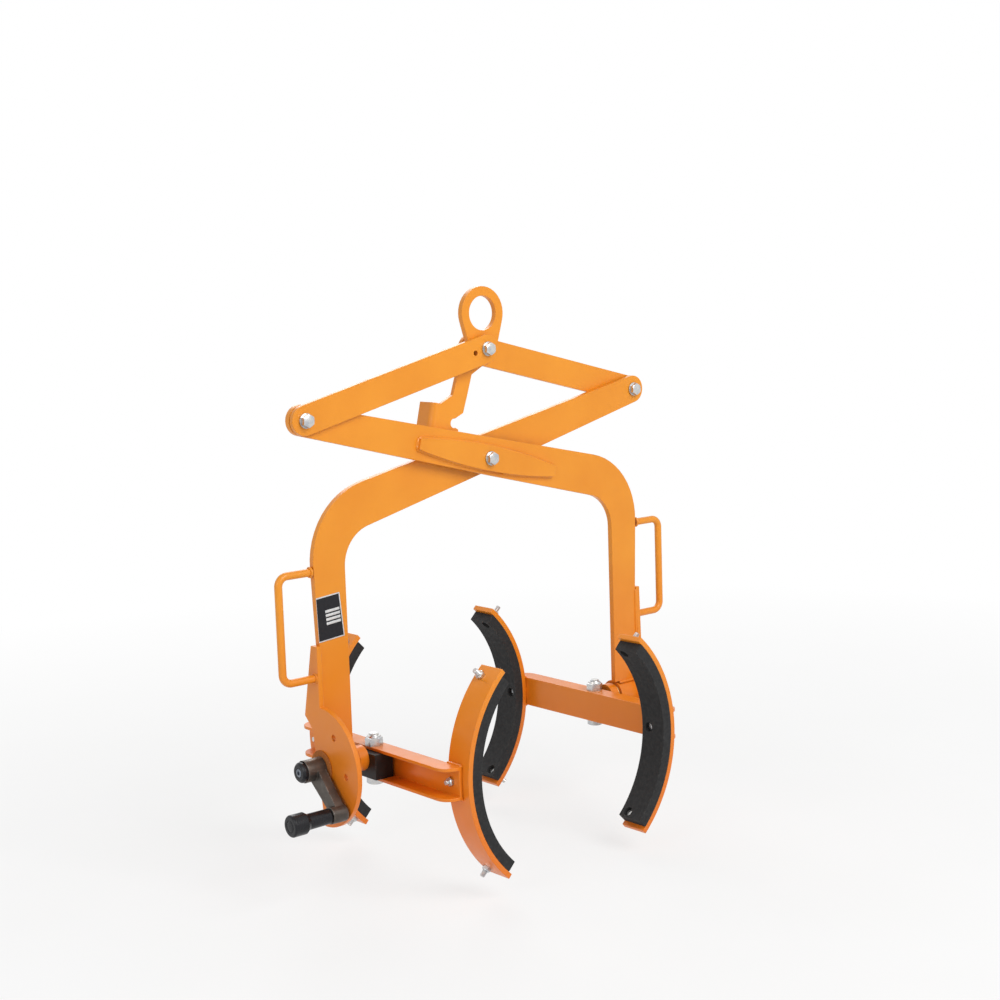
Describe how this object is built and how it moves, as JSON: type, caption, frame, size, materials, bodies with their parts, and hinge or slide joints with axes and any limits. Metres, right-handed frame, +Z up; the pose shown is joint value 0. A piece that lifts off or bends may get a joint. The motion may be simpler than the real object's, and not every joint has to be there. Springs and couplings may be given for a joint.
{
  "type": "drum lifter",
  "caption": "Scissor tongs hung from an eye that grip a drum between curved rubber pads and tilt it with a crank.",
  "frame": {"origin": "centre of the lifting eye's hole, in the middle of the eye plate", "axes": "+Z up, +Y to the back along the drum's axis, +X to the side away from the crank"},
  "size_m": [0.823, 0.412, 0.8842],
  "materials": {
    "orange_paint": "semi-gloss",
    "zinc_steel": "zinc plated",
    "pad_rubber": "matte",
    "black_paint": "satin",
    "black_plastic": "gloss",
    "crank_casting": "painted casting",
    "bush_bronze": "machined",
    "brake_lining": "matte"
  },
  "bodies": {
    "eye": {"lifting_eye": "orange_paint", "top_bolt": "zinc_steel", "top_nut": "zinc_steel", "top_washers": "zinc_steel", "top_spacer": "zinc_steel"},
    "left_link": {"left_link": "orange_paint", "left_pin_bolt": "zinc_steel", "left_pin_nut": "zinc_steel", "left_pin_washers": "zinc_steel"},
    "right_link": {"right_link": "orange_paint", "right_pin_bolt": "zinc_steel", "right_pin_nut": "zinc_steel", "right_pin_washers": "zinc_steel"},
    "front_arm": {"front_arm": "orange_paint", "front_doubler": "orange_paint", "right_handle": "orange_paint", "right_bearing_plate": "orange_paint", "right_bearing_tube": "orange_paint", "right_bushes": "bush_bronze", "centre_bolt": "zinc_steel", "centre_nut": "zinc_steel", "centre_washers": "zinc_steel", "centre_spacer": "zinc_steel"},
    "rear_arm": {"rear_arm": "orange_paint", "rear_doubler": "orange_paint", "left_handle": "orange_paint", "tilt_disc": "orange_paint", "left_bearing_tube": "orange_paint", "left_bushes": "bush_bronze", "friction_washer": "brake_lining"},
    "latch": {"hold_open_latch": "orange_paint"},
    "left_tilt": {"left_tilt_shaft": "orange_paint", "left_swivel_block": "black_paint", "crank_arm": "crank_casting", "crank_key": "zinc_steel", "crank_end_cap": "black_plastic", "crank_screw": "zinc_steel", "grip_spindle": "zinc_steel"},
    "crank_grip": {"crank_grip": "black_plastic"},
    "left_clamp": {"left_clamp_channel": "orange_paint", "left_swivel_bolt": "zinc_steel", "left_swivel_nut": "zinc_steel", "left_front_carrier": "orange_paint", "left_rear_carrier": "orange_paint", "left_front_pad": "pad_rubber", "left_rear_pad": "pad_rubber", "left_pad_bolts": "zinc_steel", "left_pad_nuts": "zinc_steel"},
    "right_tilt": {"right_tilt_shaft": "orange_paint", "right_swivel_block": "black_paint", "right_shaft_nut": "zinc_steel"},
    "right_clamp": {"right_clamp_channel": "orange_paint", "right_swivel_bolt": "zinc_steel", "right_swivel_nut": "zinc_steel", "right_front_carrier": "orange_paint", "right_rear_carrier": "orange_paint", "right_front_pad": "pad_rubber", "right_rear_pad": "pad_rubber", "right_pad_bolts": "zinc_steel", "right_pad_nuts": "zinc_steel"}
  },
  "joints": [
    {"name": "left_link_swing", "type": "hinge", "parent": "eye", "child": "left_link", "pos_m": [0, 0.0095, -0.056], "axis": [0, 1, 0], "range_deg": [0, 6]},
    {"name": "right_link_swing", "type": "hinge", "parent": "eye", "child": "right_link", "pos_m": [0, 0.0095, -0.056], "axis": [0, 1, 0], "range_deg": [-6, 0]},
    {"name": "front_arm_fold", "type": "hinge", "parent": "left_link", "child": "front_arm", "pos_m": [-0.34737, 0.0095, -0.14261], "axis": [0, 1, 0], "range_deg": [-12, 0]},
    {"name": "rear_arm_fold", "type": "hinge", "parent": "right_link", "child": "rear_arm", "pos_m": [0.34737, 0.0095, -0.14261], "axis": [0, 1, 0], "range_deg": [0, 12]},
    {"name": "latch_swing", "type": "hinge", "parent": "eye", "child": "latch", "pos_m": [0, 0.0095, -0.056], "axis": [0, 1, 0], "range_deg": [0, 36]},
    {"name": "left_clamp_tilt", "type": "hinge", "parent": "rear_arm", "child": "left_tilt", "pos_m": [-0.3, 0.0095, -0.66722], "axis": [1, 0, 0], "continuous": true},
    {"name": "crank_grip_spin", "type": "hinge", "parent": "left_tilt", "child": "crank_grip", "pos_m": [-0.4, -0.04805, -0.72279], "axis": [1, 0, 0], "continuous": true},
    {"name": "left_clamp_swivel", "type": "hinge", "parent": "left_tilt", "child": "left_clamp", "pos_m": [-0.23405, 0.0095, -0.67722], "axis": [0, 0, 1], "range_deg": [-5, 5]},
    {"name": "right_clamp_tilt", "type": "hinge", "parent": "front_arm", "child": "right_tilt", "pos_m": [0.3, 0.0095, -0.66722], "axis": [1, 0, 0], "continuous": true},
    {"name": "right_clamp_swivel", "type": "hinge", "parent": "right_tilt", "child": "right_clamp", "pos_m": [0.23405, 0.0095, -0.67722], "axis": [0, 0, 1], "range_deg": [-5, 5]}
  ],
  "couplings": [
    {"joint": "right_link_swing", "follows": "left_link_swing", "ratio": -1},
    {"joint": "front_arm_fold", "follows": "left_link_swing", "ratio": -2},
    {"joint": "rear_arm_fold", "follows": "left_link_swing", "ratio": 2},
    {"joint": "latch_swing", "follows": "left_link_swing", "ratio": 6}
  ]
}
